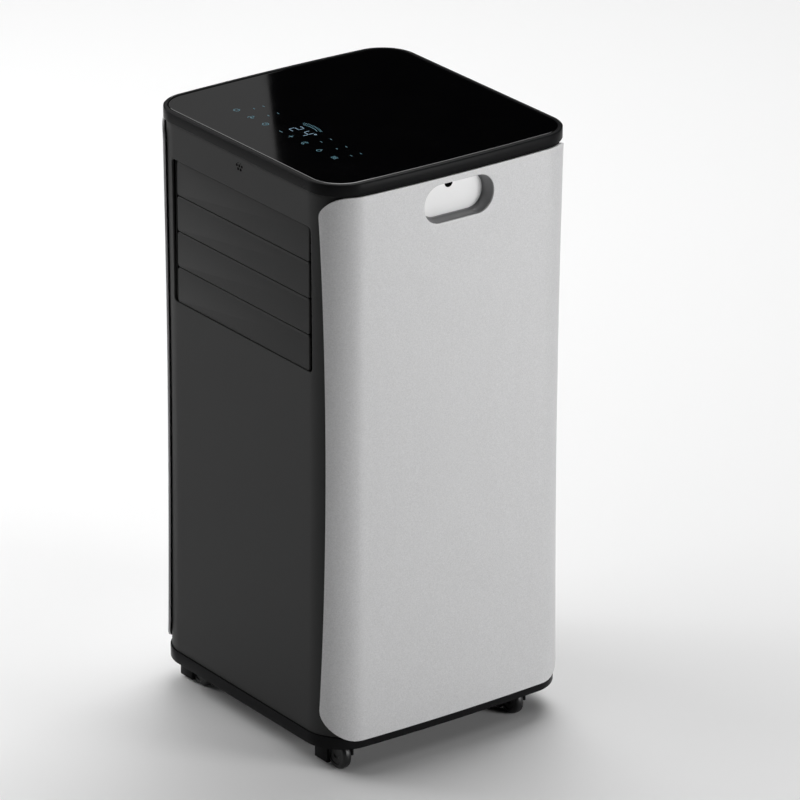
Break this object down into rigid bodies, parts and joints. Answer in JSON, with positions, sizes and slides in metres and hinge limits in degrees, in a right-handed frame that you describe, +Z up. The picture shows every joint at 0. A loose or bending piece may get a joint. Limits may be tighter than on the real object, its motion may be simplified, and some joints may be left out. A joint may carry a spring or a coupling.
{
  "type": "portable air conditioner",
  "caption": "Tall floor-standing room cooler with a dark case, silver side panels, carry handles, tilting front louvers, a glass touch top, rear filters and swivel casters.",
  "frame": {"origin": "on the floor, under the middle of the bounding box", "axes": "+Z up; -Y is the front with the louvers; +X is the right-hand side as seen from the front"},
  "size_m": [0.3598, 0.345, 0.703],
  "materials": {
    "charcoal_plastic": "satin moulded plastic",
    "black_gloss_plastic": "glossy moulded plastic",
    "silver_paint": "satin silver metallic paint on plastic",
    "light_plastic": "light grey moulded plastic",
    "black_glass": "opaque black glass",
    "black_rubber": "matt black rubber",
    "wheel_nylon": "satin black nylon",
    "zinc_steel": "zinc plated steel",
    "aluminium_fins": "bare aluminium fins, as one block",
    "inner_plastic": "grey moulded plastic",
    "black_enamel": "black enamel",
    "copper_pipe": "bare copper tube",
    "circuit_board": "green solder mask"
  },
  "bodies": {
    "casing": {"base_tray": "black_gloss_plastic", "front_cover": "charcoal_plastic", "rear_cover": "charcoal_plastic", "left_side_panel": "silver_paint", "right_side_panel": "silver_paint", "left_handle_cup": "light_plastic", "right_handle_cup": "light_plastic", "top_cover": "black_gloss_plastic", "control_glass": "black_glass", "display_board": "circuit_board", "outlet_duct": "charcoal_plastic", "louver_motor": "inner_plastic", "exhaust_collar": "charcoal_plastic", "cord_gland": "black_rubber", "deck_pan": "inner_plastic", "evaporator": "aluminium_fins", "blower_housing": "inner_plastic", "blower_motor": "black_enamel", "compressor": "black_enamel", "compressor_grommet_1": "black_rubber", "compressor_grommet_2": "black_rubber", "compressor_grommet_3": "black_rubber", "accumulator": "black_enamel", "condenser": "aluminium_fins", "exhaust_housing": "inner_plastic", "exhaust_motor": "black_enamel", "slinger_motor": "black_enamel", "discharge_pipe": "copper_pipe", "suction_pipe": "copper_pipe", "capillary_tube": "copper_pipe", "control_box": "inner_plastic", "run_capacitor": "zinc_steel"},
    "louver_1": {"louver_1": "charcoal_plastic"},
    "louver_2": {"louver_2": "charcoal_plastic"},
    "louver_3": {"louver_3": "charcoal_plastic"},
    "louver_4": {"louver_4": "charcoal_plastic"},
    "louver_link": {"louver_link": "zinc_steel"},
    "upper_filter": {"upper_filter": "charcoal_plastic"},
    "lower_filter": {"lower_filter": "charcoal_plastic"},
    "upper_drain_plug": {"upper_drain_plug": "black_rubber"},
    "lower_drain_plug": {"lower_drain_plug": "black_rubber"},
    "blower_wheel": {"blower_wheel": "inner_plastic"},
    "exhaust_wheel": {"exhaust_wheel": "inner_plastic"},
    "slinger_wheel": {"slinger_wheel": "inner_plastic"},
    "front_left_swivel": {"front_left_caster_hood": "black_gloss_plastic", "front_left_caster_axle": "zinc_steel"},
    "front_left_wheel": {"front_left_caster_wheel": "wheel_nylon"},
    "front_right_swivel": {"front_right_caster_hood": "black_gloss_plastic", "front_right_caster_axle": "zinc_steel"},
    "front_right_wheel": {"front_right_caster_wheel": "wheel_nylon"},
    "rear_left_swivel": {"rear_left_caster_hood": "black_gloss_plastic", "rear_left_caster_axle": "zinc_steel"},
    "rear_left_wheel": {"rear_left_caster_wheel": "wheel_nylon"},
    "rear_right_swivel": {"rear_right_caster_hood": "black_gloss_plastic", "rear_right_caster_axle": "zinc_steel"},
    "rear_right_wheel": {"rear_right_caster_wheel": "wheel_nylon"}
  },
  "joints": [
    {"name": "louver_1_tilt", "type": "hinge", "parent": "casing", "child": "louver_1", "pos_m": [0, -0.15928, 0.626], "axis": [1, 0, 0], "range_deg": [0, 75]},
    {"name": "louver_2_tilt", "type": "hinge", "parent": "casing", "child": "louver_2", "pos_m": [0, -0.15928, 0.5836], "axis": [1, 0, 0], "range_deg": [0, 75]},
    {"name": "louver_3_tilt", "type": "hinge", "parent": "casing", "child": "louver_3", "pos_m": [0, -0.15928, 0.5412], "axis": [1, 0, 0], "range_deg": [0, 75]},
    {"name": "louver_4_tilt", "type": "hinge", "parent": "casing", "child": "louver_4", "pos_m": [0, -0.15928, 0.4988], "axis": [1, 0, 0], "range_deg": [0, 75]},
    {"name": "louver_link_pivot", "type": "hinge", "parent": "louver_1", "child": "louver_link", "pos_m": [-0.1358, -0.14728, 0.626], "axis": [1, 0, 0], "range_deg": [-75, 0]},
    {"name": "upper_filter_pull", "type": "slide", "parent": "casing", "child": "upper_filter", "axis": [0, 1, 0], "range_m": [0, 0.06]},
    {"name": "lower_filter_pull", "type": "slide", "parent": "casing", "child": "lower_filter", "axis": [0, 1, 0], "range_m": [0, 0.06]},
    {"name": "upper_drain_plug_pull", "type": "slide", "parent": "casing", "child": "upper_drain_plug", "axis": [0, 1, 0], "range_m": [0, 0.025]},
    {"name": "lower_drain_plug_pull", "type": "slide", "parent": "casing", "child": "lower_drain_plug", "axis": [0, 1, 0], "range_m": [0, 0.025]},
    {"name": "blower_wheel_spin", "type": "hinge", "parent": "casing", "child": "blower_wheel", "pos_m": [0, 0.0619, 0.465], "axis": [0, 1, 0], "continuous": true},
    {"name": "exhaust_wheel_spin", "type": "hinge", "parent": "casing", "child": "exhaust_wheel", "pos_m": [0, 0.1069, 0.29], "axis": [0, 1, 0], "continuous": true},
    {"name": "slinger_wheel_spin", "type": "hinge", "parent": "casing", "child": "slinger_wheel", "pos_m": [0.07, 0.1079, 0.068], "axis": [0, 1, 0], "continuous": true},
    {"name": "front_left_swivel_turn", "type": "hinge", "parent": "casing", "child": "front_left_swivel", "pos_m": [-0.1323, -0.1415, 0.038], "axis": [0, 0, 1], "continuous": true},
    {"name": "front_left_wheel_roll", "type": "hinge", "parent": "front_left_swivel", "child": "front_left_wheel", "pos_m": [-0.1193, -0.1415, 0.018], "axis": [0, 1, 0], "continuous": true},
    {"name": "front_right_swivel_turn", "type": "hinge", "parent": "casing", "child": "front_right_swivel", "pos_m": [0.1323, -0.1415, 0.038], "axis": [0, 0, 1], "continuous": true},
    {"name": "front_right_wheel_roll", "type": "hinge", "parent": "front_right_swivel", "child": "front_right_wheel", "pos_m": [0.1453, -0.1415, 0.018], "axis": [0, 1, 0], "continuous": true},
    {"name": "rear_left_swivel_turn", "type": "hinge", "parent": "casing", "child": "rear_left_swivel", "pos_m": [-0.1323, 0.0999, 0.038], "axis": [0, 0, 1], "continuous": true},
    {"name": "rear_left_wheel_roll", "type": "hinge", "parent": "rear_left_swivel", "child": "rear_left_wheel", "pos_m": [-0.1193, 0.0999, 0.018], "axis": [0, 1, 0], "continuous": true},
    {"name": "rear_right_swivel_turn", "type": "hinge", "parent": "casing", "child": "rear_right_swivel", "pos_m": [0.1323, 0.0999, 0.038], "axis": [0, 0, 1], "continuous": true},
    {"name": "rear_right_wheel_roll", "type": "hinge", "parent": "rear_right_swivel", "child": "rear_right_wheel", "pos_m": [0.1453, 0.0999, 0.018], "axis": [0, 1, 0], "continuous": true}
  ],
  "couplings": [
    {"joint": "louver_2_tilt", "follows": "louver_1_tilt", "ratio": 1},
    {"joint": "louver_3_tilt", "follows": "louver_1_tilt", "ratio": 1},
    {"joint": "louver_4_tilt", "follows": "louver_1_tilt", "ratio": 1},
    {"joint": "louver_link_pivot", "follows": "louver_1_tilt", "ratio": -1}
  ]
}
